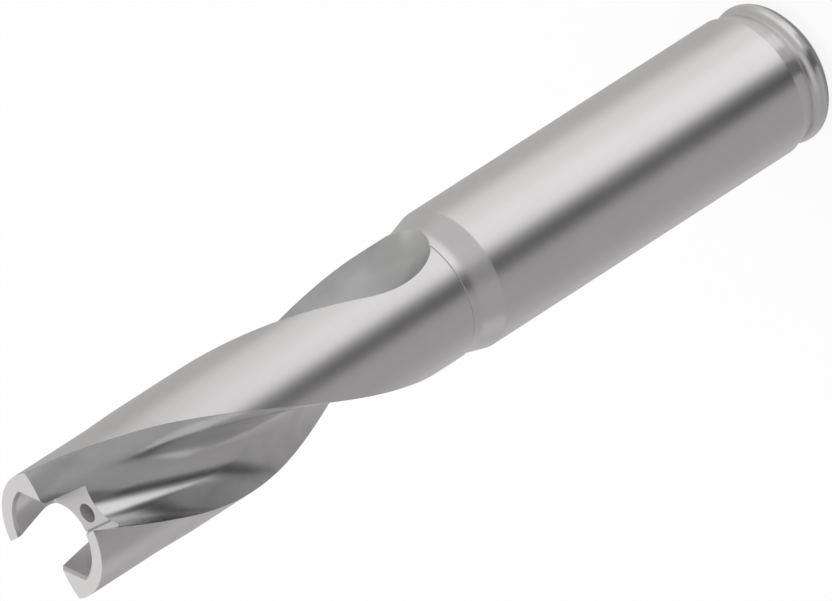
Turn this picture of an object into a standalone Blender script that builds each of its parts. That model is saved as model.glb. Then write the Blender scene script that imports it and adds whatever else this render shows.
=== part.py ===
"""Modular drill body: one piece of steel that carries an exchangeable drill crown.

The tool stands on its rear face, with its axis on +Z and its tip at the top.
Rear to tip: a locating groove behind a rounded bead, a plain round shank, a
conical shoulder, a slimmer body with two right-hand chip flutes, and a round
pocket with two drive flats that leaves two hooked arms. A straight coolant
duct runs through the middle. The drive flats run along X. Angles are in
degrees, counter-clockwise as seen from the tip.
"""

import math

import bmesh
import bpy
from mathutils import Matrix, Vector

MM = 0.001

# Shank, from the rear face upwards
SHANK_DIAMETER = 16.0 * MM
SHANK_LENGTH = 49.6 * MM
SHANK_FRONT_ROUNDING = 0.6 * MM

# Rear end: flat face, chamfer, rounded bead, sharp groove, taper back to the shank
BEAD_DEPTH = 0.04 * MM
BEAD_HEIGHT = 2.1 * MM
BEAD_REAR_RADIUS = 1.6 * MM
REAR_CHAMFER_ANGLE = 40.0
GROOVE_DEPTH = 0.675 * MM
GROOVE_HEIGHT = 3.2 * MM
GROOVE_TAPER = 17.5

# Fluted body, with its slimmer front zone
BODY_DIAMETER = 14.6 * MM
BODY_LENGTH = 58.2 * MM
FRONT_ZONE_DEPTH = 0.13 * MM
FRONT_ZONE_LENGTH = 10.0 * MM
FRONT_ZONE_BLEND = 4.4 * MM

# Shoulder between shank and body, with the shallow relief at its rounded foot
SHOULDER_TAPER = 15.0
CONE_FOOT_RADIUS = 3.5 * MM
RELIEF_DEPTH = 0.1 * MM
RELIEF_WIDTH = 1.0 * MM
RELIEF_END_TAPER = 45.0

# Chip flutes: full depth over the flute length, then the run-out
FLUTE_COUNT = 2
FLUTE_LEAD = 112.0 * MM
FLUTE_LENGTH = 43.6 * MM
WEB_THICKNESS = 3.94 * MM
FLUTE_ANGLE = 62.1
CORE_RADIUS = 3.3 * MM
CORE_TURN_TO_RAKE = 44.0
RAKE_RADIUS = 7.4 * MM
RAKE_TURN = 28.0
CORE_TURN_TO_HEEL = 10.0
HEEL_HOLLOW_RADIUS = 6.15 * MM
HEEL_HOLLOW_TURN = 26.0
HEEL_CROWN_RADIUS = 7.4 * MM
HEEL_CROWN_TURN = 23.0
RUN_OUT_WHEEL_RADIUS = 13.46 * MM
RUN_OUT_ANGLE = 62.0

# Tip pocket between the arms
ARM_THICKNESS = 1.76 * MM
POCKET_DEPTH = 5.12 * MM
DRIVE_FLAT_DISTANCE = 6.92 * MM
POCKET_CHAMFER = 0.3 * MM

# Coolant duct, fed by a wider bore that ends below the shoulder
DUCT_DIAMETER = 2.15 * MM
SUPPLY_BORE_DIAMETER = 5.0 * MM
SUPPLY_BORE_SETBACK = 7.6 * MM
DRILL_POINT_ANGLE = 118.0
INLET_CHAMFER = 0.7 * MM

# Fineness of the surfaces
TURNED_SEGMENTS = 72
DUCT_SEGMENTS = 24
POCKET_ARC_SEGMENTS = 12
OUTLINE_STEP = 12.0
FLUTE_STEP = 7.0
TWIST_STEP = 5.0
LIFT_STEP = 7.0
SHARP_EDGE_ANGLE = 28.0
MERGE_DISTANCE = 0.0001 * MM
CUTTER_MARGIN = 2.0 * MM

# Sizes that follow from the ones above
SHANK_RADIUS = SHANK_DIAMETER / 2.0
BODY_RADIUS = BODY_DIAMETER / 2.0
FRONT_ZONE_RADIUS = BODY_RADIUS - FRONT_ZONE_DEPTH
OVERALL_LENGTH = SHANK_LENGTH + BODY_LENGTH
RUN_OUT_START = OVERALL_LENGTH - FLUTE_LENGTH
POCKET_FLOOR = OVERALL_LENGTH - POCKET_DEPTH


def polar(radius, degrees):
    """Point in the section plane at this radius and angle."""
    angle = math.radians(degrees)
    return Vector((radius * math.cos(angle), radius * math.sin(angle)))


def arc_points(centre, radius, start, end, count):
    """Points along an arc of this many segments, both ends included."""
    return [centre + polar(radius, start + (end - start) * i / count) for i in range(count + 1)]


def segments(turn, step):
    """Number of segments that keep each step of a turn at or under this angle."""
    return max(1, math.ceil(abs(turn) / step))


def tapered(drop, taper):
    """Length along the axis in which a surface at this angle to it falls by this much."""
    return drop / math.tan(math.radians(taper))


def clear_scene():
    for item in list(bpy.data.objects):
        bpy.data.objects.remove(item, do_unlink=True)


def steel_material():
    """Ground, bright steel."""
    material = bpy.data.materials.new("ground_steel")
    material.use_nodes = True
    shader = material.node_tree.nodes["Principled BSDF"]
    shader.inputs["Base Color"].default_value = (0.56, 0.55, 0.54, 1.0)
    shader.inputs["Metallic"].default_value = 1.0
    shader.inputs["Roughness"].default_value = 0.32
    return material


def mesh_object(name, bm):
    """Object from a bmesh, with its faces turned outwards."""
    bmesh.ops.recalc_face_normals(bm, faces=bm.faces)
    mesh = bpy.data.meshes.new(name)
    bm.to_mesh(mesh)
    bm.free()
    item = bpy.data.objects.new(name, mesh)
    bpy.context.scene.collection.objects.link(item)
    return item


def turned_object(name, outline, steps):
    """Solid turned about the tool axis from (radius, height) points that start and end on it."""
    bm = bmesh.new()
    points = [bm.verts.new((radius, 0.0, height)) for radius, height in outline]
    edges = [bm.edges.new(pair) for pair in zip(points, points[1:])]
    bmesh.ops.spin(
        bm, geom=points + edges, cent=(0.0, 0.0, 0.0), axis=(0.0, 0.0, 1.0),
        angle=2.0 * math.pi, steps=steps, use_merge=True,
    )
    bmesh.ops.remove_doubles(bm, verts=bm.verts, dist=MERGE_DISTANCE)
    return mesh_object(name, bm)


def lofted_object(name, rings):
    """Closed solid through rings of equally many points, with flat ends."""
    bm = bmesh.new()
    loops = [[bm.verts.new(point) for point in ring] for ring in rings]
    for lower, upper in zip(loops, loops[1:]):
        for i in range(len(lower)):
            j = (i + 1) % len(lower)
            bm.faces.new((lower[i], lower[j], upper[j], upper[i]))
    bm.faces.new(loops[0])
    bm.faces.new(loops[-1])
    return mesh_object(name, bm)


def rear_end_outline():
    """Flat face, chamfer, bead, groove and taper, from the axis up to the full shank."""
    bead_radius = SHANK_RADIUS - BEAD_DEPTH
    groove_radius = SHANK_RADIUS - GROOVE_DEPTH
    rear_turn = 90.0 - REAR_CHAMFER_ANGLE
    rear_centre = Vector((bead_radius - BEAD_REAR_RADIUS, BEAD_HEIGHT))
    rear_count = segments(rear_turn, OUTLINE_STEP)
    rear_arc = arc_points(rear_centre, BEAD_REAR_RADIUS, -rear_turn, 0.0, rear_count)
    foot = rear_arc[0]
    face_radius = foot.x - tapered(foot.y, REAR_CHAMFER_ANGLE)

    rise = GROOVE_HEIGHT - BEAD_HEIGHT
    drop = bead_radius - groove_radius
    front_radius = (rise ** 2 + drop ** 2) / (2.0 * drop)
    front_centre = Vector((bead_radius - front_radius, BEAD_HEIGHT))
    front_turn = math.degrees(math.atan2(rise, front_radius - drop))
    front_count = segments(front_turn, OUTLINE_STEP)
    front_arc = arc_points(front_centre, front_radius, 0.0, front_turn, front_count)

    edge = Vector((SHANK_RADIUS, GROOVE_HEIGHT + tapered(GROOVE_DEPTH, GROOVE_TAPER)))
    return [Vector((0.0, 0.0)), Vector((face_radius, 0.0))] + rear_arc + front_arc[1:] + [edge]


def shoulder_outline():
    """Small rounding at the shank's front edge, cone, rounded cone foot and relief."""
    count = segments(SHOULDER_TAPER, OUTLINE_STEP)
    half_tangent = math.tan(math.radians(SHOULDER_TAPER / 2.0))
    top = Vector((SHANK_RADIUS - SHANK_FRONT_ROUNDING, SHANK_LENGTH - SHANK_FRONT_ROUNDING * half_tangent))
    rounding = arc_points(top, SHANK_FRONT_ROUNDING, 0.0, SHOULDER_TAPER, count)

    relief_radius = BODY_RADIUS - RELIEF_DEPTH
    cone_end = SHANK_LENGTH + tapered(SHANK_RADIUS - relief_radius, SHOULDER_TAPER)
    foot = Vector((relief_radius + CONE_FOOT_RADIUS, cone_end + CONE_FOOT_RADIUS * half_tangent))
    hollow = arc_points(foot, CONE_FOOT_RADIUS, 180.0 + SHOULDER_TAPER, 180.0, count)
    return rounding + hollow + [Vector((relief_radius, cone_end + RELIEF_WIDTH))]


def body_outline():
    """Sloped end of the relief, full body and the blend to the slimmer front zone, up to the tip."""
    body_foot = shoulder_outline()[-1].y + tapered(RELIEF_DEPTH, RELIEF_END_TAPER)
    blend_top = OVERALL_LENGTH - FRONT_ZONE_LENGTH
    return [
        Vector((BODY_RADIUS, body_foot)),
        Vector((BODY_RADIUS, blend_top - FRONT_ZONE_BLEND)),
        Vector((FRONT_ZONE_RADIUS, blend_top)),
        Vector((FRONT_ZONE_RADIUS, OVERALL_LENGTH)),
        Vector((0.0, OVERALL_LENGTH)),
    ]


def flute_section():
    """Outline of the cut of one flute, closed well outside the bar.

    The wall is a chain of tangent arcs. It starts where the cut touches the
    web, on +X, and is laid out from there to the heel of one land and to the
    rake side of the other. The angles are those of the wall's normal.
    """
    reach = SHANK_DIAMETER
    deepest = polar(WEB_THICKNESS / 2.0, 0.0)

    def wall(start, radius, first, last):
        """Hollow arc whose normal turns from first to last, or a crowned one for a radius below 0."""
        centre = start + polar(radius, first)
        inwards = 180.0 if radius > 0.0 else 0.0
        count = segments(last - first, FLUTE_STEP)
        return arc_points(centre, abs(radius), first + inwards, last + inwards, count)

    rake_end = CORE_TURN_TO_RAKE + RAKE_TURN
    rake = wall(deepest, CORE_RADIUS, 0.0, CORE_TURN_TO_RAKE)
    rake += wall(rake[-1], RAKE_RADIUS, CORE_TURN_TO_RAKE, rake_end)[1:]
    rake.append(rake[-1] + polar(reach, rake_end - 90.0))

    hollow_end = -CORE_TURN_TO_HEEL - HEEL_HOLLOW_TURN
    crown_end = hollow_end + HEEL_CROWN_TURN
    heel = wall(deepest, CORE_RADIUS, 0.0, -CORE_TURN_TO_HEEL)
    heel += wall(heel[-1], HEEL_HOLLOW_RADIUS, -CORE_TURN_TO_HEEL, hollow_end)[1:]
    heel += wall(heel[-1], -HEEL_CROWN_RADIUS, hollow_end, crown_end)[1:]
    heel.append(heel[-1] + polar(reach, crown_end + 90.0))

    outside = rake[-1] + heel[-1] - deepest
    return rake[::-1] + heel[1:] + [outside]


def flute_stations():
    """Height and sideways lift of the grinding wheel's stations, from tip to run-out."""
    top = OVERALL_LENGTH + CUTTER_MARGIN
    count = segments(360.0 * (top - RUN_OUT_START) / FLUTE_LEAD, TWIST_STEP)
    stations = [(top + (RUN_OUT_START - top) * i / count, 0.0) for i in range(count + 1)]
    lift_count = segments(90.0, LIFT_STEP)
    for i in range(1, lift_count + 1):
        angle = math.radians(90.0 * i / lift_count)
        height = RUN_OUT_START - RUN_OUT_WHEEL_RADIUS * math.sin(angle)
        lift = RUN_OUT_WHEEL_RADIUS * (1.0 - math.cos(angle))
        stations.append((height, lift))
    return stations


def flute_cutter(index):
    """Helical sweep of the flute section, lifted out of the bar along the wheel's radius."""
    section = flute_section()
    shift = polar(1.0, RUN_OUT_ANGLE)
    rings = []
    for height, lift in flute_stations():
        turn = (height - OVERALL_LENGTH) / FLUTE_LEAD + index / FLUTE_COUNT
        rotation = Matrix.Rotation(math.radians(FLUTE_ANGLE + 360.0 * turn), 3, "Z")
        ring = [rotation @ (point + shift * lift).to_3d() for point in section]
        for point in ring:
            point.z = height
        rings.append(ring)
    return lofted_object(f"flute_cutter_{index + 1}", rings)


def pocket_ring(offset, height):
    """Round pocket outline with two parallel flats along X, grown by an offset."""
    radius = FRONT_ZONE_RADIUS - ARM_THICKNESS + offset
    flat = DRIVE_FLAT_DISTANCE / 2.0 + offset
    half_chord = math.degrees(math.acos(flat / radius))
    ring = []
    for flat_angle in (90.0, 270.0):
        start = flat_angle + half_chord
        end = flat_angle + 180.0 - half_chord
        ring += arc_points(Vector((0.0, 0.0)), radius, start, end, POCKET_ARC_SEGMENTS)
    return [(point.x, point.y, height) for point in ring]


def pocket_cutter():
    """Pocket between the arms, chamfered at its mouth."""
    flare = POCKET_CHAMFER + CUTTER_MARGIN
    rings = [
        pocket_ring(0.0, POCKET_FLOOR),
        pocket_ring(0.0, OVERALL_LENGTH - POCKET_CHAMFER),
        pocket_ring(flare, OVERALL_LENGTH + CUTTER_MARGIN),
    ]
    return lofted_object("pocket_cutter", rings)


def duct_cutter():
    """Supply bore with a drill point, then the thin duct to the pocket floor."""
    bore = SUPPLY_BORE_DIAMETER / 2.0
    duct = DUCT_DIAMETER / 2.0
    bore_end = SHANK_LENGTH - SUPPLY_BORE_SETBACK
    mouth = bore + INLET_CHAMFER + CUTTER_MARGIN
    outline = [
        (0.0, -CUTTER_MARGIN),
        (mouth, -CUTTER_MARGIN),
        (bore, INLET_CHAMFER),
        (bore, bore_end),
        (duct, bore_end + tapered(bore - duct, DRILL_POINT_ANGLE / 2.0)),
        (duct, OVERALL_LENGTH),
        (0.0, OVERALL_LENGTH),
    ]
    return turned_object("duct_cutter", outline, DUCT_SEGMENTS)


def cut(body, cutter):
    """Take the cutter's shape out of the body; the cutter stays as a hidden guide."""
    cutter.hide_render = True
    cutter.display_type = "WIRE"
    modifier = body.modifiers.new(cutter.name, "BOOLEAN")
    modifier.operation = "DIFFERENCE"
    modifier.solver = "EXACT"
    modifier.object = cutter


def build():
    clear_scene()
    outline = rear_end_outline() + shoulder_outline() + body_outline()
    body = turned_object("drill_body", outline, TURNED_SEGMENTS)
    for index in range(FLUTE_COUNT):
        cut(body, flute_cutter(index))
    cut(body, pocket_cutter())
    cut(body, duct_cutter())
    body.data.materials.append(steel_material())
    body.data.shade_smooth()
    body.data.set_sharp_from_angle(angle=math.radians(SHARP_EDGE_ANGLE))


build()
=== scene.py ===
"""Studio picture of a modular drill body that stands on its rear face.

The body is one bar of tool steel: a turned blank, two helical chip flutes that
run out of the bar towards the shoulder, a milled pocket at the tip and a
straight coolant duct. A node tree turns the blank, sweeps the grinding wheel's
section up the helix and takes the cuts; the finishes are those of each
machining step.
"""

from __future__ import annotations

import logging
import math
from dataclasses import dataclass, field
from enum import Enum
from functools import partial

import bmesh
import bpy
from mathutils import Matrix, Vector

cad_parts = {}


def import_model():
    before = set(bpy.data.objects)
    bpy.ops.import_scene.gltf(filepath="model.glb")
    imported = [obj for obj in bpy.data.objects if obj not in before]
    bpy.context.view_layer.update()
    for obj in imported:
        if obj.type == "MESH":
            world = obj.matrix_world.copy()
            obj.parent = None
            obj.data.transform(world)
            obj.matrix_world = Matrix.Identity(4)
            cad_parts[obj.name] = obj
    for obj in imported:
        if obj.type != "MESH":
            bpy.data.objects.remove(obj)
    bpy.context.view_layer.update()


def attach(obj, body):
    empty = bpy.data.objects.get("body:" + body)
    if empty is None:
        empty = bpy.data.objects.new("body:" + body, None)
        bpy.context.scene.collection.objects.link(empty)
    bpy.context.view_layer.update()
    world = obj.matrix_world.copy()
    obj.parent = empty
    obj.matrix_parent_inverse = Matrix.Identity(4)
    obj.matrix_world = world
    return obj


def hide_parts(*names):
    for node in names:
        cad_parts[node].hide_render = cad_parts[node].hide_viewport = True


MM = 0.001
TURN = 2.0 * math.pi
BODY = "root"
CAD_NODE = "drill_body"
PIECE = "steel_drill_body"

FINE_SEGMENTS = 512
MERGE_DISTANCE = 0.001 * MM
HALF_STEP = 0.5
FLUTE_LEAD = 112.0 * MM
CAMERA_AZIMUTH = 41.1
WHITE = (1.0, 1.0, 1.0, 1.0)
PLAIN_LEVEL = 1.0

Point = tuple[float, float, float]
Tree = bpy.types.NodeTree
Socket = bpy.types.NodeSocket
Sockets = bpy.types.bpy_prop_collection

log = logging.getLogger("drill_body")


class Cut(Enum):
    """Machining step that left a surface; the value is stored on its faces."""

    TURNED = 0
    FLUTE = 1
    POCKET = 2
    DUCT = 3

    @property
    def finish(self) -> str:
        """Name of the node tree's input for the finish that the step leaves."""
        return f"{self.name.title()} Finish"


# solids cut after the flutes; the relief is given the duct's dull grey as painted shade along its
# narrow groove
SOLID_CUTS = {"Tip Pocket": Cut.POCKET, "Foot Relief": Cut.DUCT, "Coolant Duct": Cut.DUCT}


def linear(hex_colour: str) -> tuple[float, float, float, float]:
    """Turn an sRGB hex value into linear light.

    Args:
        hex_colour: Six hex digits, such as "c8c7c4".

    Returns:
        Red, green, blue and an alpha of 1.
    """
    channels = [int(hex_colour[i:i + 2], 16) / 255.0 for i in (0, 2, 4)]
    light = [c / 12.92 if c <= 0.04045 else ((c + 0.055) / 1.055) ** 2.4 for c in channels]
    return (*light, 1.0)


def add_node(tree: Tree, kind: str, inputs: dict | None = None, **settings) -> bpy.types.Node:
    """Add one node with its settings, values and links.

    Args:
        tree: Tree that gets the node.
        kind: The node's type name.
        inputs: Socket name or number to a value, or to the output socket that feeds it.
        **settings: Properties of the node itself.

    Returns:
        The new node.
    """
    made = tree.nodes.new(kind)
    for name, value in settings.items():
        setattr(made, name, value)
    for key, value in (inputs or {}).items():
        if isinstance(value, bpy.types.NodeSocket):
            tree.links.new(value, made.inputs[key])
        else:
            made.inputs[key].default_value = value
    return made


def result(tree: Tree, kind: str, inputs: dict | None = None, **settings) -> Socket:
    """First output of a new node."""
    return add_node(tree, kind, inputs, **settings).outputs[0]


def cleared(made: bpy.types.Material | bpy.types.World) -> Tree:
    """Node tree of a new material or world, without its first nodes."""
    made.use_nodes = True
    made.node_tree.nodes.clear()
    return made.node_tree


def maths(tree: Tree, operation: str, *values: Socket | float) -> Socket:
    """Result of a Math node that gets the numbers or sockets as its inputs."""
    return result(tree, "ShaderNodeMath", dict(enumerate(values)), operation=operation)


def vector_maths(tree: Tree, operation: str, *values: Socket | Point) -> Socket:
    """Vector from a Vector Math node that gets the vectors or sockets as its inputs."""
    inputs = dict(enumerate(values))
    return result(tree, "ShaderNodeVectorMath", inputs, operation=operation)


def spun(tree: Tree, place: Socket, angle: Socket) -> Socket:
    """Position turned about the tool's axis, by an angle in radians."""
    inputs = {"Vector": place, "Angle": angle}
    return result(tree, "ShaderNodeVectorRotate", inputs, rotation_type="Z_AXIS")


def mapped(tree: Tree, value: Socket, start: float, end: float, low: float, high: float) -> Socket:
    """Value mapped from start and end to low and high, and held at both ends."""
    ranges = {"From Min": start, "From Max": end, "To Min": low, "To Max": high}
    return result(tree, "ShaderNodeMapRange", {"Value": value, **ranges})


def noise(tree: Tree, place: Socket, scale: float, detail: float, roughness: float) -> Socket:
    """Add a noise texture and give its height, around 0.5.

    Args:
        tree: Tree that gets the node.
        place: Position that it is read at.
        scale: Features to a metre, or 1 where the position is scaled already.
        detail: How many finer layers are added.
        roughness: How strong each finer layer is against the last.

    Returns:
        The height.
    """
    inputs = {"Vector": place, "Scale": scale, "Detail": detail, "Roughness": roughness}
    return add_node(tree, "ShaderNodeTexNoise", inputs).outputs["Fac"]


def around_zero(tree: Tree, height: Socket) -> Socket:
    """Shift a noise texture's height so that it lies around 0."""
    return maths(tree, "SUBTRACT", height, 0.5)


def on_tool(tree: Tree) -> Socket:
    """Position on the tool, in a material."""
    return add_node(tree, "ShaderNodeTexCoord").outputs["Object"]


def upward(tree: Tree, vector: Socket) -> Socket:
    """Part of a vector that runs along the tool's axis."""
    return add_node(tree, "ShaderNodeSeparateXYZ", {0: vector}).outputs["Z"]


def stored(
    tree: Tree, geometry: Socket, name: str, kind: str, value: Socket | int, **settings: str,
) -> Socket:
    """Geometry with a value of a data type stored on it under a name."""
    inputs = {"Geometry": geometry, "Name": name, "Value": value}
    return result(tree, "GeometryNodeStoreNamedAttribute", inputs, data_type=kind, **settings)


def recalled(tree: Tree, name: str, kind: str) -> Socket:
    """Value that was stored under a name, of a data type."""
    inputs = {"Name": name}
    return result(tree, "GeometryNodeInputNamedAttribute", inputs, data_type=kind)


def polar(radius: float, degrees: float) -> Vector:
    """Point in the section plane at a radius and an angle."""
    angle = math.radians(degrees)
    return Vector((radius * math.cos(angle), radius * math.sin(angle)))


def arc_points(centre: Vector, radius: float, start: float, end: float, step: float) -> list[Vector]:
    """Points along an arc, both ends included.

    Args:
        centre: Centre of the arc.
        radius: Its radius.
        start: Angle of the first point, in degrees.
        end: Angle of the last point.
        step: Largest turn between two points.

    Returns:
        The points in order.
    """
    count = max(1, math.ceil(abs(end - start) / step))
    return [centre + polar(radius, start + (end - start) * i / count) for i in range(count + 1)]


def linked(name: str, data: bpy.types.ID) -> bpy.types.Object:
    """Make an object from a mesh or a camera and link it to the scene."""
    made = bpy.data.objects.new(name, data)
    bpy.context.scene.collection.objects.link(made)
    return made


def line_object(name: str, points: list[Point], closed: bool) -> bpy.types.Object:
    """Make an object that holds one line of edges, which can be closed at its ends."""
    edges = [(i, i + 1) for i in range(len(points) - 1)]
    if closed:
        edges.append((len(points) - 1, 0))
    mesh = bpy.data.meshes.new(name)
    mesh.from_pydata(points, edges, [])
    return linked(name, mesh)


def lofted_object(name: str, rings: list[list[Point]]) -> bpy.types.Object:
    """Make a closed solid through rings of equally many points.

    Args:
        name: Name of the object.
        rings: The rings, in order along the solid.

    Returns:
        The object, with its faces outwards.
    """
    bm = bmesh.new()
    loops = [[bm.verts.new(point) for point in ring] for ring in rings]
    for lower, upper in zip(loops, loops[1:]):
        for i in range(len(lower)):
            j = (i + 1) % len(lower)
            bm.faces.new((lower[i], lower[j], upper[j], upper[i]))
    bm.faces.new(loops[0])
    bm.faces.new(loops[-1])
    bmesh.ops.recalc_face_normals(bm, faces=bm.faces)
    mesh = bpy.data.meshes.new(name)
    bm.to_mesh(mesh)
    bm.free()
    return linked(name, mesh)


@dataclass
class TurnedBlank:
    """The bar before it is fluted: shank, rear groove, shoulder and slimmer body."""

    shank_radius: float = 8.0 * MM
    shank_length: float = 49.6 * MM
    front_rounding: float = 0.6 * MM
    bead_depth: float = 0.04 * MM
    bead_height: float = 2.1 * MM
    bead_rear_radius: float = 1.6 * MM
    rear_chamfer: float = 40.0
    groove_depth: float = 0.675 * MM
    groove_height: float = 3.2 * MM
    groove_taper: float = 17.5
    body_radius: float = 7.3 * MM
    body_length: float = 58.2 * MM
    front_zone_depth: float = 0.13 * MM
    front_zone_length: float = 10.0 * MM
    front_zone_blend: float = 4.4 * MM
    shoulder_taper: float = 15.0
    cone_foot_radius: float = 3.5 * MM
    relief_depth: float = 0.1 * MM
    relief_width: float = 1.0 * MM
    relief_end_taper: float = 45.0
    crease_depth: float = 0.1 * MM
    crease_width: float = 0.1 * MM
    arc_step: float = 3.0
    edge_support: float = 0.3 * MM
    long_straight: float = 1.2 * MM

    @property
    def length(self) -> float:
        """Overall length from the rear face to the tip."""
        return self.shank_length + self.body_length

    @property
    def front_radius(self) -> float:
        """Radius of the slimmer zone at the tip."""
        return self.body_radius - self.front_zone_depth

    def rear_end(self) -> list[Vector]:
        """Outline of the flat face, chamfer, bead and groove, up to the full shank."""
        bead = self.shank_radius - self.bead_depth
        turn = 90.0 - self.rear_chamfer
        centre = Vector((bead - self.bead_rear_radius, self.bead_height))
        rear_arc = arc_points(centre, self.bead_rear_radius, -turn, 0.0, self.arc_step)
        foot = rear_arc[0]
        face = foot.x - foot.y / math.tan(math.radians(self.rear_chamfer))
        rise = self.groove_height - self.bead_height
        drop = self.groove_depth - self.bead_depth
        front = (rise ** 2 + drop ** 2) / (2.0 * drop)
        front_turn = math.degrees(math.atan2(rise, front - drop))
        front_centre = Vector((bead - front, self.bead_height))
        front_arc = arc_points(front_centre, front, 0.0, front_turn, self.arc_step)
        taper = self.groove_depth / math.tan(math.radians(self.groove_taper))
        edge = Vector((self.shank_radius, self.groove_height + taper))
        return [Vector((0.0, 0.0)), Vector((face, 0.0))] + rear_arc + front_arc[1:] + [edge]

    def shoulder(self) -> list[Vector]:
        """Outline of the shank's rounded front edge, the cone, its rounded foot and the relief."""
        taper = self.shoulder_taper
        tangent = math.tan(math.radians(taper / 2.0))
        start = self.shank_length - self.front_rounding * tangent
        centre = Vector((self.shank_radius - self.front_rounding, start))
        rounding = arc_points(centre, self.front_rounding, 0.0, taper, self.arc_step)
        relief = self.body_radius - self.relief_depth
        cone = (self.shank_radius - relief) / math.tan(math.radians(taper))
        cone_end = self.shank_length + cone
        foot = self.cone_foot_radius
        centre = Vector((relief + foot, cone_end + foot * tangent))
        hollow = arc_points(centre, foot, 180.0 + taper, 180.0, self.arc_step)
        end = Vector((relief, cone_end + self.relief_width))
        crease = [
            end - Vector((0.0, self.crease_width)),
            end - Vector((self.crease_depth, self.crease_width / 2.0)),
        ]
        return rounding + hollow + crease + [end]

    def outline(self) -> list[Point]:
        """Whole outline as radius on X and height on Z, from the axis to the axis."""
        blend_top = self.length - self.front_zone_length
        points = self.rear_end() + self.shoulder()
        relief_end = self.relief_depth / math.tan(math.radians(self.relief_end_taper))
        points += [
            Vector((self.body_radius, points[-1].y + relief_end)),
            Vector((self.body_radius, blend_top - self.front_zone_blend)),
            Vector((self.front_radius, blend_top)),
            Vector((self.front_radius, self.length)),
            Vector((0.0, self.length)),
        ]
        return [(point.x, 0.0, point.y) for point in self.supported(points)]

    def supported(self, points: list[Vector]) -> list[Vector]:
        """Outline with points added near both ends of each straight, to shade true up to them."""
        out = [points[0]]
        for start, end in zip(points, points[1:]):
            way = end - start
            if way.length > self.long_straight:
                step = way.normalized() * self.edge_support
                out += [start + step, end - step]
            out.append(end)
        return out


@dataclass
class FluteGrind:
    """Section of the grinding wheel's cut, and its way up the helix."""

    count: int = 2
    lead: float = FLUTE_LEAD
    length: float = 43.6 * MM
    web: float = 3.94 * MM
    angle: float = 62.1
    core_radius: float = 3.3 * MM
    core_to_rake: float = 44.0
    rake_radius: float = 7.4 * MM
    rake_turn: float = 28.0
    core_to_heel: float = 10.0
    hollow_radius: float = 6.15 * MM
    hollow_turn: float = 26.0
    crown_radius: float = 7.4 * MM
    crown_turn: float = 23.0
    wheel_radius: float = 13.46 * MM
    lift_angle: float = 62.0
    arc_step: float = 2.5
    run_steps: tuple[float, ...] = (1.0, 2.0, 3.0, 4.0, 6.0, 9.0, 16.0)
    helix_stations: int = 130
    lift_stations: int = 36
    overrun: float = 2.0 * MM

    def wall(self, start: Vector, radius: float, first: float, last: float) -> list[Vector]:
        """One arc of the section, hollow for a radius above 0 and crowned below it.

        Args:
            start: Point where the arc begins.
            radius: Its signed radius.
            first: Angle of the wall's normal at the start, in degrees.
            last: Angle of the normal at the end.

        Returns:
            The arc's points.
        """
        inwards = 180.0 if radius > 0.0 else 0.0
        centre = start + polar(radius, first)
        return arc_points(centre, abs(radius), first + inwards, last + inwards, self.arc_step)

    def run(self, start: Vector, heading: float) -> list[Vector]:
        """Straight end of a wall, with steps in millimetres so that its twist stays smooth."""
        return [start + polar(step * MM, heading) for step in self.run_steps]

    def section(self) -> list[Point]:
        """Closed outline of the cut, with its deepest point on +X at half the web."""
        deepest = polar(self.web / 2.0, 0.0)
        rake_start, heel_start = self.core_to_rake, -self.core_to_heel
        rake_end = rake_start + self.rake_turn
        rake = self.wall(deepest, self.core_radius, 0.0, rake_start)
        rake += self.wall(rake[-1], self.rake_radius, rake_start, rake_end)[1:]
        rake += self.run(rake[-1], rake_end - 90.0)
        hollow_end = heel_start - self.hollow_turn
        crown_end = hollow_end + self.crown_turn
        heel = self.wall(deepest, self.core_radius, 0.0, heel_start)
        heel += self.wall(heel[-1], self.hollow_radius, heel_start, hollow_end)[1:]
        heel += self.wall(heel[-1], -self.crown_radius, hollow_end, crown_end)[1:]
        heel += self.run(heel[-1], crown_end + 90.0)
        outside = rake[-1] + heel[-1] - deepest
        return [(point.x, point.y, 0.0) for point in rake[::-1] + heel[1:] + [outside]]


@dataclass
class TipPocket:
    """Round pocket with two drive flats, milled between the arms.

    Its round walls have a rounded foot, as a cutter with rounded corners leaves it.
    """

    radius: float = 5.41 * MM
    depth: float = 5.12 * MM
    flat_distance: float = 6.92 * MM
    flat_angles: tuple[float, float] = (90.0, 270.0)
    chamfer: float = 0.3 * MM
    foot_radius: float = 1.2 * MM
    foot_step: float = 7.5
    arc_segments: int = 48
    margin: float = 2.0 * MM

    def ring(self, height: float, grown: float = 0.0, drawn_in: float = 0.0) -> list[Point]:
        """Outline of the pocket at one height.

        Args:
            height: Height of the ring.
            grown: How far the whole outline lies outside the pocket's wall.
            drawn_in: How far its round sides lie inside the wall.

        Returns:
            The ring's points, counter-clockwise.
        """
        radius = self.radius + grown - drawn_in
        half_chord = math.degrees(math.acos((self.flat_distance / 2.0 + grown) / radius))
        sweep = 180.0 - 2.0 * half_chord
        ring: list[Point] = []
        for flat_angle in self.flat_angles:
            start = flat_angle + half_chord
            for i in range(self.arc_segments + 1):
                point = polar(radius, start + sweep * i / self.arc_segments)
                ring.append((point.x, point.y, height))
        return ring

    def cutter(self, top: float) -> bpy.types.Object:
        """Solid that the pocket takes out of the tip.

        Args:
            top: Height of the arms' front faces.

        Returns:
            The cutter.
        """
        floor = top - self.depth
        reach = self.foot_radius
        foot = arc_points(Vector((0.0, reach)), reach, -90.0, 0.0, self.foot_step)
        rings = [self.ring(floor + point.y, drawn_in=reach - point.x) for point in foot]
        rings.append(self.ring(top - self.chamfer))
        rings.append(self.ring(top + self.margin, grown=self.chamfer + self.margin))
        return lofted_object("pocket_cutter", rings)


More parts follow.
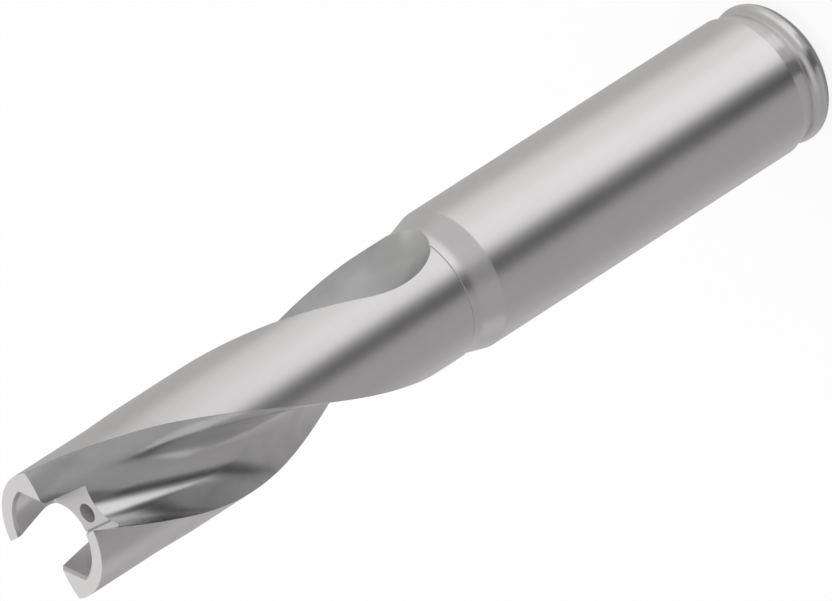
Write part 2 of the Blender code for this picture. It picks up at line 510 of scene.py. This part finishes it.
@dataclass
class FootRelief:
    """V-shaped corner relief in the pocket floor, along the foot of one arm."""

    offset: float = 1.72 * MM
    heading: float = 37.2
    start: float = -2.6 * MM
    end: float = 3.0 * MM
    width: float = 0.24 * MM
    depth: float = 0.26 * MM
    margin: float = 0.02 * MM

    def cutter(self, floor: float) -> bpy.types.Object:
        """Solid that the relief takes out of the floor.

        Args:
            floor: Height of the pocket floor.

        Returns:
            The cutter.
        """
        half, lip = self.width / 2.0, self.margin
        section = ((0.0, -self.depth), (half, 0.0), (half, lip), (-half, lip), (-half, 0.0))
        rings: list[list[Point]] = []
        for way in (self.start, self.end):
            ring: list[Point] = []
            for reach, height in section:
                side = polar(self.offset + reach, self.heading - 90.0)
                point = polar(way, self.heading) + side
                ring.append((point.x, point.y, floor + height))
            rings.append(ring)
        return lofted_object("relief_cutter", rings)


@dataclass
class CoolantDuct:
    """Supply bore in the shank and the thin duct that carries on to the pocket."""

    radius: float = 1.075 * MM
    bore_radius: float = 2.5 * MM
    bore_end: float = 42.0 * MM
    drill_point: float = 118.0
    inlet_chamfer: float = 0.7 * MM
    segments: int = 96
    margin: float = 2.0 * MM

    def cutter(self, top: float) -> bpy.types.Object:
        """Solid that the duct takes out of the bar.

        Args:
            top: Height of the tip.

        Returns:
            The cutter.
        """
        point = (self.bore_radius - self.radius) / math.tan(math.radians(self.drill_point / 2.0))
        outline = [
            (self.bore_radius + self.inlet_chamfer + self.margin, -self.margin),
            (self.bore_radius, self.inlet_chamfer),
            (self.bore_radius, self.bore_end),
            (self.radius, self.bore_end + point),
            (self.radius, top),
        ]
        turns = [TURN * i / self.segments for i in range(self.segments)]
        rings = [[(r * math.cos(t), r * math.sin(t), h) for t in turns] for r, h in outline]
        return lofted_object("duct_cutter", rings)


class Marks(Enum):
    """Way in which the marks of a machining step run over the steel."""

    ROUND = "round the axis"
    HELIX = "along the flutes"
    MILLED = "in circles, square to the axis"


@dataclass(frozen=True)
class MachinedSteel:
    """Bare, hardened tool steel with the marks of one machining step.

    The real marks are 0.02 to 0.05 mm apart, finer than the picture can show,
    so they are drawn about ten times as coarse, and faint.
    """

    name: str
    colour: str
    roughness: float
    marks: Marks
    spacing: float
    slope: float
    stretch: float = 0.2
    stretch_turn: float = 0.25
    streaks: float = 0.08
    metallic: float = 1.0
    lead: float = FLUTE_LEAD
    run: float = 50.0 * MM
    # cloudiness: its size, its range, and what it does to the tint and the gloss
    cloud: float = 9.0 * MM
    cloud_range: tuple[float, float] = (0.3, 0.7)
    cloud_tint: float = 0.025
    cloud_gloss: float = 0.02
    # painted shade: a darker grey on faces that look up the axis, between these parts of the normal
    painted_upward_shade: float = 1.0
    painted_upward_shade_range: tuple[float, float] = (0.3, 1.0)
    # slanted bands: their strength, their lead, how many to a millimetre, their draw along it
    bands: float = 0.0
    band_lead: float = 34.0 * MM
    bands_per_mm: float = 0.45
    band_draw: float = 0.06
    # added roughness at the run-out, and the heights where it is full and gone
    dull_end: float = 0.0
    dull_full: float = 66.0 * MM
    dull_gone: float = 80.0 * MM
    # corners: their painted shade, how far off a wall still shades them, and the open share in between
    corner_shade: float = 0.8
    corner_reach: float = 1.2 * MM
    corner_open: tuple[float, float] = (0.15, 0.75)
    # edges: their rounding, how fast they show, the painted highlight they add to the tint, and what
    # they do to the gloss
    edge: float = 0.09 * MM
    edge_gain: float = 3.0
    painted_edge_highlight: float = 0.08
    edge_gloss: float = 0.06
    rays: int = 4

    def place(self, tree: Tree, lead: float | None) -> Socket:
        """Position on the tool, unwound along a helix if its lead is given."""
        place = on_tool(tree)
        if lead is None:
            return place
        return spun(tree, place, maths(tree, "MULTIPLY", upward(tree, place), -TURN / lead))

    def sweep(self, tree: Tree) -> Socket:
        """Faint slanted bands where the wheel's pressure changed, around 0."""
        draw = (1.0, 1.0, self.band_draw)
        drawn = vector_maths(tree, "MULTIPLY", self.place(tree, self.band_lead), draw)
        bands = noise(tree, drawn, scale=self.bands_per_mm / MM, detail=2.0, roughness=0.5)
        return maths(tree, "MULTIPLY", around_zero(tree, bands), self.bands)

    def dullness(self, tree: Tree) -> Socket:
        """Added roughness towards the run-out, where the wheel leaves the steel."""
        height = upward(tree, on_tool(tree))
        return mapped(tree, height, self.dull_full, self.dull_gone, self.dull_end, 0.0)

    def grain(self, tree: Tree, place: Socket) -> Socket:
        """Fine lines left by the tool, between 0 and 1.

        Args:
            tree: Tree of the material.
            place: Position on the tool.

        Returns:
            Height of the lines.
        """
        fine, long = 1.0 / self.spacing, 1.0 / self.run
        scale = {
            Marks.ROUND: (long, long, fine),
            Marks.HELIX: (fine, fine, long),
            Marks.MILLED: (fine, long, fine),
        }[self.marks]
        if self.marks is Marks.MILLED:
            axes = add_node(tree, "ShaderNodeSeparateXYZ", {0: place}).outputs
            squares = [maths(tree, "MULTIPLY", axes[k], axes[k]) for k in ("X", "Y")]
            radius = maths(tree, "SQRT", maths(tree, "ADD", *squares))
            round_axis = {"X": radius, "Y": axes["X"], "Z": axes["Z"]}
            place = result(tree, "ShaderNodeCombineXYZ", round_axis)
        drawn = vector_maths(tree, "MULTIPLY", place, scale)
        return noise(tree, drawn, scale=1.0, detail=3.0, roughness=0.6)

    def direction(self, tree: Tree) -> Socket:
        """Direction in which the marks run, for the stretched gloss."""
        on_helix = self.marks is Marks.HELIX
        axis = (0.0, 0.0, TURN / self.lead if on_helix else 1.0)
        climb = (0.0, 0.0, 1.0 if on_helix else 0.0)
        round_axis = vector_maths(tree, "CROSS_PRODUCT", axis, on_tool(tree))
        return vector_maths(tree, "ADD", round_axis, climb)

    def worn_and_highlit_edge(self, tree: Tree, rounded: Socket, true: Socket) -> Socket:
        """How far a point lies on an edge, from 0 to 1, by the rounded and the true normal."""
        vectors = {0: rounded, 1: true}
        dot = add_node(tree, "ShaderNodeVectorMath", vectors, operation="DOT_PRODUCT")
        bend = maths(tree, "SUBTRACT", 1.0, dot.outputs["Value"])
        return maths(tree, "MINIMUM", maths(tree, "MULTIPLY", bend, self.edge_gain), 1.0)

    def steel(self, tree: Tree, cloud: Socket, edge: Socket, true: Socket) -> Socket:
        """Colour of the steel: cloudy, with painted shade on faces that look up the axis and in the
        corners, and a painted highlight on the edges.

        Args:
            tree: Tree of the material.
            cloud: Height of the cloudiness.
            edge: Share of the edges.
            true: Normal of the surface.

        Returns:
            The colour.
        """
        tint = mapped(tree, cloud, *self.cloud_range, 1.0 - self.cloud_tint, 1.0 + self.cloud_tint)
        if self.bands:
            tint = maths(tree, "ADD", tint, self.sweep(tree))
        # painted shade on faces that look up the axis
        if self.painted_upward_shade != 1.0:
            painted_upward_shade = mapped(tree, upward(tree, true), *self.painted_upward_shade_range, 1.0, self.painted_upward_shade)
            tint = maths(tree, "MULTIPLY", tint, painted_upward_shade)

        # painted shade: an occlusion test darkens the colour in the corners
        reach = {"Distance": self.corner_reach}
        corner = add_node(tree, "ShaderNodeAmbientOcclusion", reach, samples=self.rays)
        shade = mapped(tree, corner.outputs["AO"], *self.corner_open, self.corner_shade, 1.0)
        tint = maths(tree, "MULTIPLY", tint, shade)
        # painted highlight: the edges' share lightens the colour
        tint = maths(tree, "ADD", tint, maths(tree, "MULTIPLY", edge, self.painted_edge_highlight))
        inputs = {0: linear(self.colour)[:3], "Scale": tint}
        return result(tree, "ShaderNodeVectorMath", inputs, operation="SCALE")

    def gloss(self, tree: Tree, cloud: Socket, edge: Socket, grain: Socket) -> Socket:
        """Roughness of the steel, with faint streaks and smoother edges.

        Args:
            tree: Tree of the material.
            cloud: Height of the cloudiness.
            edge: Share of the edges.
            grain: Height of the fine lines.

        Returns:
            The roughness.
        """
        low, high = self.roughness - self.cloud_gloss, self.roughness + self.cloud_gloss
        rough = mapped(tree, cloud, *self.cloud_range, low, high)
        streaks = maths(tree, "MULTIPLY", around_zero(tree, grain), self.streaks)
        rough = maths(tree, "ADD", rough, streaks)
        rough = maths(tree, "SUBTRACT", rough, maths(tree, "MULTIPLY", edge, self.edge_gloss))
        if self.dull_end:
            rough = maths(tree, "ADD", rough, self.dullness(tree))
        return rough

    def material(self) -> bpy.types.Material:
        """Build the material: bare metal, its marks and cloudiness, its edges with a painted highlight
        and its corners with painted shade.
        """
        made = bpy.data.materials.new(self.name)
        made.use_nodes = True
        tree = made.node_tree
        place = self.place(tree, self.lead if self.marks is Marks.HELIX else None)
        grain = self.grain(tree, place)
        cloud = noise(tree, place, scale=1.0 / self.cloud, detail=4.0, roughness=0.55)

        # the cutter rounds each edge a little and handling polishes it; the colour gets a painted
        # highlight there
        bevel = {"Radius": self.edge}
        rounded = result(tree, "ShaderNodeBevel", bevel, samples=self.rays)
        true = add_node(tree, "ShaderNodeNewGeometry").outputs["Normal"]
        edge = self.worn_and_highlit_edge(tree, rounded, true)
        bump = {"Height": grain, "Distance": self.spacing * self.slope, "Normal": rounded}
        shader = tree.nodes["Principled BSDF"].inputs
        feeds = {
            "Base Color": self.steel(tree, cloud, edge, true),
            "Roughness": self.gloss(tree, cloud, edge, grain),
            "Normal": result(tree, "ShaderNodeBump", {**bump, "Strength": 1.0}),
            "Tangent": self.direction(tree),
        }
        for name, socket in feeds.items():
            tree.links.new(socket, shader[name])
        shader["Metallic"].default_value = self.metallic
        shader["Anisotropic"].default_value = self.stretch
        shader["Anisotropic Rotation"].default_value = self.stretch_turn
        return made


@dataclass
class DrillBody:
    """The whole tool body, made by one node tree from its sections."""

    blank: TurnedBlank = field(default_factory=TurnedBlank)
    flute: FluteGrind = field(default_factory=FluteGrind)
    pocket: TipPocket = field(default_factory=TipPocket)
    relief: FootRelief = field(default_factory=FootRelief)
    duct: CoolantDuct = field(default_factory=CoolantDuct)
    sharp_angle: float = 8.0

    @property
    def round_segments(self) -> int:
        """Segments round the bar."""
        return FINE_SEGMENTS

    def tree(self) -> Tree:
        """Build the node tree that turns, flutes, mills and drills the bar."""
        tree = bpy.data.node_groups.new("fluted_drill_body", "GeometryNodeTree")
        flute, blank = self.flute, self.blank
        sizes = {
            "Round Segments": self.round_segments,
            "Tip Height": blank.length,
            "Flute Count": flute.count,
            "Flute Lead": flute.lead,
            "Flute Angle": math.radians(flute.angle),
            "Flute Top": blank.length + flute.overrun,
            "Run-out Start": blank.length - flute.length,
            "Wheel Radius": flute.wheel_radius,
            "Lift Angle": math.radians(flute.lift_angle),
            "Helix Stations": flute.helix_stations,
            "Run-out Stations": flute.lift_stations,
            "Sharp Angle": math.radians(self.sharp_angle),
        }
        face = tree.interface
        face.new_socket("Geometry", in_out="INPUT", socket_type="NodeSocketGeometry")
        for name in ("Flute Section", *SOLID_CUTS):
            face.new_socket(name, in_out="INPUT", socket_type="NodeSocketObject")
        for name, value in sizes.items():
            kind = "NodeSocketInt" if isinstance(value, int) else "NodeSocketFloat"
            face.new_socket(name, in_out="INPUT", socket_type=kind).default_value = value
        for cut in Cut:
            face.new_socket(cut.finish, in_out="INPUT", socket_type="NodeSocketMaterial")
        face.new_socket("Geometry", in_out="OUTPUT", socket_type="NodeSocketGeometry")
        given = add_node(tree, "NodeGroupInput").outputs

        bar = self.turned_bar(tree, given)
        cuts = [self.flute_cuts(tree, given)]
        for name, cut in SOLID_CUTS.items():
            cuts.append(self.marked(tree, self.taken(tree, given[name]), cut))
        body = add_node(
            tree, "GeometryNodeMeshBoolean", {"Mesh 1": bar}, operation="DIFFERENCE", solver="EXACT",
        )
        for solid in cuts:
            tree.links.new(solid, body.inputs["Mesh 2"])
        self.finished(tree, given, body.outputs["Mesh"])
        return tree

    def taken(self, tree: Tree, helper: Socket) -> Socket:
        """Geometry of a helper object."""
        return add_node(tree, "GeometryNodeObjectInfo", {"Object": helper}).outputs["Geometry"]

    def marked(self, tree: Tree, geometry: Socket, cut: Cut) -> Socket:
        """Geometry that says on each face which machining step makes it."""
        return stored(tree, geometry, "cut", "INT", cut.value, domain="FACE")

    def turned_bar(self, tree: Tree, given: Sockets) -> Socket:
        """Turn the outline about the axis.

        Args:
            tree: Tree of the body.
            given: Outputs of the group input, whose geometry is the outline.

        Returns:
            The bar, closed at both poles.
        """
        count = given["Round Segments"]
        place = result(tree, "GeometryNodeInputPosition")
        outline = result(tree, "GeometryNodeMeshToCurve", {"Mesh": given["Geometry"]})
        outline = stored(tree, outline, "outline", "FLOAT_VECTOR", place)
        ring = result(tree, "GeometryNodeCurvePrimitiveCircle", {"Resolution": count})
        index = result(tree, "GeometryNodeInputIndex")
        turn = maths(tree, "MULTIPLY", maths(tree, "DIVIDE", index, count), TURN)
        ring = stored(tree, ring, "turn", "FLOAT", turn)
        curves = {"Curve": ring, "Profile Curve": outline}
        bar = result(tree, "GeometryNodeCurveToMesh", curves)
        turned = spun(tree, recalled(tree, "outline", "FLOAT_VECTOR"), recalled(tree, "turn", "FLOAT"))
        moved = {"Geometry": bar, "Position": turned}
        bar = result(tree, "GeometryNodeSetPosition", moved)
        merged = {"Geometry": bar, "Distance": MERGE_DISTANCE}
        bar = result(tree, "GeometryNodeMergeByDistance", merged)
        return self.marked(tree, bar, Cut.TURNED)

    def flute_cuts(self, tree: Tree, given: Sockets) -> Socket:
        """Sweep the section up the helix, lift it at the run-out and repeat it round the bar.

        Args:
            tree: Tree of the body.
            given: Outputs of the group input.

        Returns:
            The solids that all flutes take out of the bar.
        """
        section = self.taken(tree, given["Flute Section"])
        section = result(tree, "GeometryNodeMeshToCurve", {"Mesh": section})
        place = result(tree, "GeometryNodeInputPosition")
        section = stored(tree, section, "section", "FLOAT_VECTOR", place)

        # station number along the way: helix first, then the wheel's lift
        last = maths(tree, "ADD", given["Helix Stations"], given["Run-out Stations"])
        way = result(tree, "GeometryNodeCurvePrimitiveLine")
        sampled = {"Curve": way, "Count": maths(tree, "ADD", last, 1.0)}
        way = result(tree, "GeometryNodeResampleCurve", sampled)
        index = result(tree, "GeometryNodeInputIndex")
        way = stored(tree, way, "station", "FLOAT", index)
        curves = {"Curve": way, "Profile Curve": section, "Fill Caps": True}
        cutter = result(tree, "GeometryNodeCurveToMesh", curves)
        moved = {"Geometry": cutter, "Position": self.swept(tree, given)}
        cutter = result(tree, "GeometryNodeSetPosition", moved)
        cutter = self.marked(tree, cutter, Cut.FLUTE)

        starts = {"Count": given["Flute Count"], "Offset": (0.0, 0.0, 0.0)}
        starts = result(tree, "GeometryNodeMeshLine", starts)
        index = result(tree, "GeometryNodeInputIndex")
        share = maths(tree, "DIVIDE", index, given["Flute Count"])
        turned = {"Z": maths(tree, "MULTIPLY", share, TURN)}
        turned = result(tree, "ShaderNodeCombineXYZ", turned)
        copies = {"Points": starts, "Instance": cutter, "Rotation": turned}
        copies = result(tree, "GeometryNodeInstanceOnPoints", copies)
        return result(tree, "GeometryNodeRealizeInstances", {"Geometry": copies})

    def swept(self, tree: Tree, given: Sockets) -> Socket:
        """Place of a point of the section, lifted by the wheel and twisted along the helix.

        Args:
            tree: Tree of the body.
            given: Outputs of the group input.

        Returns:
            The place at the point's own station.
        """
        add, less, times, over = (
            partial(maths, tree, name) for name in ("ADD", "SUBTRACT", "MULTIPLY", "DIVIDE")
        )
        top, wheel, helix = given["Flute Top"], given["Wheel Radius"], given["Helix Stations"]
        station = recalled(tree, "station", "FLOAT")
        helix_share = maths(tree, "MINIMUM", over(station, helix), 1.0)
        past = maths(tree, "MAXIMUM", less(station, helix), 0.0)
        roll = times(over(past, given["Run-out Stations"]), TURN / 4.0)
        fall = times(less(top, given["Run-out Start"]), helix_share)
        dip = times(wheel, maths(tree, "SINE", roll))
        height = less(less(top, fall), dip)
        lift = times(wheel, less(1.0, maths(tree, "COSINE", roll)))

        heading = given["Lift Angle"]
        across = [times(lift, maths(tree, name, heading)) for name in ("COSINE", "SINE")]
        shift = result(tree, "ShaderNodeCombineXYZ", dict(zip("XY", across)))
        lifted = vector_maths(tree, "ADD", recalled(tree, "section", "FLOAT_VECTOR"), shift)
        turns = over(less(height, given["Tip Height"]), given["Flute Lead"])
        twisted = spun(tree, lifted, add(times(turns, TURN), given["Flute Angle"]))
        raised = result(tree, "ShaderNodeCombineXYZ", {"Z": height})
        return vector_maths(tree, "ADD", twisted, raised)

    def finished(self, tree: Tree, given: Sockets, body: Socket) -> None:
        """Shade the round surfaces smooth, keep the edges sharp and give each cut its finish.

        Args:
            tree: Tree of the body.
            given: Outputs of the group input.
            body: The machined bar.
        """
        bend = add_node(tree, "GeometryNodeInputMeshEdgeAngle").outputs["Unsigned Angle"]
        sharp = maths(tree, "GREATER_THAN", bend, given["Sharp Angle"])
        smooth = {0: body, "Shade Smooth": True}
        body = result(tree, "GeometryNodeSetShadeSmooth", smooth, domain="FACE")
        crisp = {0: body, "Selection": sharp, "Shade Smooth": False}
        body = result(tree, "GeometryNodeSetShadeSmooth", crisp, domain="EDGE")
        body = result(tree, "GeometryNodeRealizeInstances", {"Geometry": body})
        step = recalled(tree, "cut", "INT")
        for cut in Cut:
            here = maths(tree, "COMPARE", step, float(cut.value), HALF_STEP)
            chosen = {"Geometry": body, "Selection": here, "Material": given[cut.finish]}
            body = result(tree, "GeometryNodeSetMaterial", chosen)
        add_node(tree, "NodeGroupOutput", {"Geometry": body})

    def build(self, finishes: dict[Cut, MachinedSteel]) -> bpy.types.Object:
        """Run the tree and keep its result as a plain mesh.

        Args:
            finishes: Finish that each machining step leaves.

        Returns:
            The finished body.
        """
        materials = {cut.finish: finish.material() for cut, finish in finishes.items()}
        top = self.blank.length
        host = line_object("blank_outline", self.blank.outline(), closed=False)
        helpers = {
            "Flute Section": line_object("flute_section", self.flute.section(), closed=True),
            "Tip Pocket": self.pocket.cutter(top),
            "Foot Relief": self.relief.cutter(top - self.pocket.depth),
            "Coolant Duct": self.duct.cutter(top),
        }
        inputs = {**helpers, **materials}
        modifier = host.modifiers.new("machining", "NODES")
        modifier.node_group = self.tree()
        for item in modifier.node_group.interface.items_tree:
            if item.name in inputs:
                modifier[item.identifier] = inputs[item.name]
        bpy.context.view_layer.update()
        graph = bpy.context.evaluated_depsgraph_get()
        mesh = bpy.data.meshes.new_from_object(
            host.evaluated_get(graph), preserve_all_data_layers=True, depsgraph=graph,
        )
        mesh.name = PIECE
        while None in list(mesh.materials):
            mesh.materials.pop(index=list(mesh.materials).index(None))
        for name in ("outline", "turn", "section", "station", "cut"):
            mesh.attributes.remove(mesh.attributes[name])
        for helper in (host, *helpers.values()):
            bpy.data.objects.remove(helper, do_unlink=True)
        return linked(PIECE, mesh)


@dataclass
class CameraView:
    """Long lens from a steep side, turned so that the tool lies across the frame.
    """

    lens: float = 1200.0
    distance: float = 2846.7 * MM
    azimuth: float = CAMERA_AZIMUTH
    elevation: float = 34.09
    roll: float = -122.777
    aim_height: float = 54.0 * MM
    offset: tuple[float, float] = (-0.479 * MM, -0.210 * MM)
    clip_start: float = 100.0 * MM
    clip_end: float = 20000.0 * MM

    def place(self) -> bpy.types.Object:
        """Make the scene's camera."""
        azimuth, elevation = math.radians(self.azimuth), math.radians(self.elevation)
        level = math.cos(elevation)
        back = Vector((level * math.cos(azimuth), level * math.sin(azimuth), math.sin(elevation)))
        roll = Matrix.Rotation(math.radians(self.roll), 3, "Z")
        turned = back.to_track_quat("Z", "Y").to_matrix() @ roll
        right, up = turned.col[0], turned.col[1]
        aim = Vector((0.0, 0.0, self.aim_height)) + right * self.offset[0] + up * self.offset[1]
        data = bpy.data.cameras.new("camera")
        data.lens = self.lens
        data.clip_start = self.clip_start
        data.clip_end = self.clip_end
        camera = linked("camera", data)
        camera.matrix_world = Matrix.Translation(aim + back * self.distance) @ turned.to_4x4()
        bpy.context.scene.camera = camera
        return camera


@dataclass(frozen=True)
class ReflectionCard:
    """Card round the tool that glows with its own even grey, and that only its reflections see.

    The sides of a card start where a ray grazes the shank, so that the edges
    of the reflection run straight along the tool.
    """

    name: str
    colour: str
    first: float
    last: float
    outline: tuple[tuple[float, float], ...]
    foot: float = 8.0 * MM
    step: float = 6.0

    def surface(self) -> bpy.types.Material:
        """Material that gives off the card's own even grey."""
        made = bpy.data.materials.new(self.name)
        tree = cleared(made)
        light = {"Color": linear(self.colour), "Strength": PLAIN_LEVEL}
        even = result(tree, "ShaderNodeEmission", light)
        add_node(tree, "ShaderNodeOutputMaterial", {"Surface": even})
        return made

    def build(self, facing: float) -> bpy.types.Object:
        """Make the card.

        Args:
            facing: Azimuth of the camera, from which the card's own angles count clockwise.

        Returns:
            The card.
        """
        count = max(1, math.ceil((self.last - self.first) / self.step))
        points: list[Point] = []
        for i in range(count + 1):
            angle = self.first + (self.last - self.first) * i / count
            near = polar(self.foot, facing - angle / 2.0)
            for reach, height in self.outline:
                points.append((*(near + polar(reach, facing - angle)), height))
        width = len(self.outline)
        faces: list[tuple[int, ...]] = []
        for i in range(count):
            for k in range(i * width, i * width + width - 1):
                faces.append((k, k + 1, k + width + 1, k + width))
        mesh = bpy.data.meshes.new(self.name)
        mesh.from_pydata(points, [], faces)
        mesh.materials.append(self.surface())
        card = linked(self.name, mesh)
        for rays in ("camera", "diffuse", "transmission", "volume_scatter", "shadow"):
            setattr(card, f"visible_{rays}", False)
        return card


@dataclass(frozen=True)
class CardRing:
    """Cards side by side round the tool, with one outline.

    The outline is the distance from the shank's side and the height, in
    metres. Each card is given as its colour and the angle where it ends.
    """

    name: str
    outline: tuple[tuple[float, float], ...]
    start: float
    cards: tuple[tuple[str, float], ...]

    def build(self, facing: float) -> None:
        """Make the cards, with their angles counted clockwise from the camera's azimuth."""
        first = self.start
        for number, (colour, last) in enumerate(self.cards, 1):
            name = f"{self.name}_{number}"
            ReflectionCard(name, colour, first, last, self.outline).build(facing)
            first = last


@dataclass
class Studio:
    """White floor and surroundings, with grey and dark cards for the steel to reflect."""

    floor_size: float = 12.0
    floor_colour: str = "fafafa"
    floor_glow: float = 0.85
    facing: float = CAMERA_AZIMUTH
    rings: tuple[CardRing, ...] = (
        # painted shadow: a grey ring at the foot stands for the tool's shadow on the floor in the
        # reflections
        CardRing("contact_ring", ((-0.0012, 0.0003), (0.0005, 0.0003)), -180.0, (
            ("8a8a8a", 180.0),
        )),
        CardRing("foot_ring", ((0.0005, 0.0004), (0.003, 0.0004)), -180.0, (
            ("cfcfce", -60.0), ("ededed", -30.0), ("b0b0b0", 0.0),
            ("666666", 30.0), ("afafaf", 180.0),
        )),
        CardRing("near_floor", ((0.0, 0.0002), (0.16, 0.0002)), -180.0, (
            ("bebebd", -100.0), ("dbdbda", -85.0), ("f1f1f0", -55.0),
            ("ffffff", -12.0), ("e5e5e5", -4.0), ("a1a1a1", 4.0),
            ("6b6b6b", 12.0), ("424242", 20.0), ("595959", 28.0),
            ("767676", 36.0), ("a9a7a8", 105.0), ("b5b3b4", 130.0),
            ("c6c5c5", 180.0),
        )),
        CardRing("far_floor", ((0.16, 0.0002), (0.7, 0.0002)), -180.0, (
            ("b9b9b8", -90.0), ("c6c5c5", -30.0), ("d4d4d3", 0.0),
            ("737373", 30.0), ("a5a4a5", 90.0), ("d2d1d1", 120.0),
            ("a6a5a5", 180.0),
        )),
        CardRing("low_wall", ((0.7, 0.0002), (0.7, 0.2)), -150.0, (
            ("bababa", 0.0), ("a6a5a6", 30.0), ("b2b1b1", 150.0),
        )),
        CardRing("high_wall", ((0.7, 0.2), (0.7, 0.85)), -150.0, (
            ("bbbbba", 0.0), ("cfcfce", 60.0), ("afaeae", 120.0),
            ("868686", 150.0),
        )),
        CardRing("whole_wall", ((0.7, 0.0002), (0.7, 0.85)), 150.0, (
            ("e9e8e8", 210.0),
        )),
        CardRing("slope", ((0.7, 0.85), (0.15, 1.5)), -120.0, (
            ("ececec", 0.0), ("202020", 60.0), ("b3b3b3", 120.0),
            ("fefefe", 240.0),
        )),
        CardRing("ceiling", ((0.15, 1.5), (0.0, 1.5)), -180.0, (
            ("fefefe", 180.0),
        )),
    )

    def build(self) -> None:
        """Set up the floor, the cards and the light."""
        self.floor()
        self.world()
        for ring in self.rings:
            ring.build(self.facing)

    def floor(self) -> bpy.types.Object:
        """Make the floor: plain white, with the tool's soft shadow."""
        half = self.floor_size / 2.0
        mesh = bpy.data.meshes.new("floor")
        corners = [(-half, -half, 0.0), (half, -half, 0.0), (half, half, 0.0), (-half, half, 0.0)]
        mesh.from_pydata(corners, [], [(0, 1, 2, 3)])
        mesh.materials.append(self.paper())
        floor = linked("floor", mesh)
        return floor

    def paper(self) -> bpy.types.Material:
        """White paper that glows for the picture and the reflections, and still shows a shadow."""
        made = bpy.data.materials.new("white_paper_floor")
        tree = cleared(made)
        rays = add_node(tree, "ShaderNodeLightPath").outputs
        seen = maths(tree, "MAXIMUM", rays["Is Camera Ray"], rays["Is Glossy Ray"])
        seen = maths(tree, "MAXIMUM", seen, rays["Is Transmission Ray"])
        paper = result(tree, "ShaderNodeBsdfDiffuse", {"Color": linear(self.floor_colour)})
        glow = result(tree, "ShaderNodeEmission", {"Color": WHITE, "Strength": PLAIN_LEVEL})
        share = maths(tree, "MULTIPLY", seen, self.floor_glow)
        mix = result(tree, "ShaderNodeMixShader", {0: share, 1: paper, 2: glow})
        add_node(tree, "ShaderNodeOutputMaterial", {"Surface": mix})
        return made

    def world(self) -> None:
        """Light the tool evenly from all sides at a plain level."""
        world = bpy.data.worlds.new("studio")
        bpy.context.scene.world = world
        tree = cleared(world)
        even = result(tree, "ShaderNodeBackground", {"Color": WHITE, "Strength": PLAIN_LEVEL})
        add_node(tree, "ShaderNodeOutputWorld", {"Surface": even})


FINISHES = {
    # ground outside: bright, with a soft band across the shank
    Cut.TURNED: MachinedSteel(
        "ground_tool_steel", "e2e0e0", 0.32, Marks.ROUND, 0.35 * MM, 0.003,
    ),
    # flutes, ground and polished along the helix: crisper reflections with faint bands, and a greyer
    # colour than the outside's as painted shade
    Cut.FLUTE: MachinedSteel(
        "helix_ground_tool_steel", "d4d4d4", 0.17, Marks.HELIX, 0.30 * MM, 0.002,
        stretch=0.6, dull_end=0.14, bands=0.25,
    ),
    # pocket, milled: satin walls with fine circles, a paler colour than the outside's as painted
    # light, and painted shade that gives the floor, which faces up the axis, a duller grey
    Cut.POCKET: MachinedSteel(
        "milled_tool_steel", "efeeee", 0.32, Marks.MILLED, 0.25 * MM, 0.001,
        stretch=0.1, streaks=0.02, painted_upward_shade=0.74, corner_shade=1.0,
    ),
    # duct, drilled: dull grey skin that scatters what little light comes in
    Cut.DUCT: MachinedSteel(
        "drilled_tool_steel", "d6d5d4", 0.45, Marks.ROUND, 0.20 * MM, 0.030,
        stretch=0.0, metallic=0.4, corner_shade=1.0,
    ),
}


def main() -> None:
    """Build the tool body and the studio round it."""
    logging.basicConfig(level=logging.INFO, format="%(name)s: %(message)s")
    bpy.context.scene.view_settings.view_transform = "Standard"
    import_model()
    CameraView().place()
    Studio().build()

    body = DrillBody().build(FINISHES)
    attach(body, BODY)
    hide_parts(CAD_NODE)
    log.info("%s: %d faces, %d points", body.name, len(body.data.polygons), len(body.data.vertices))


if __name__ == "__main__":
    main()
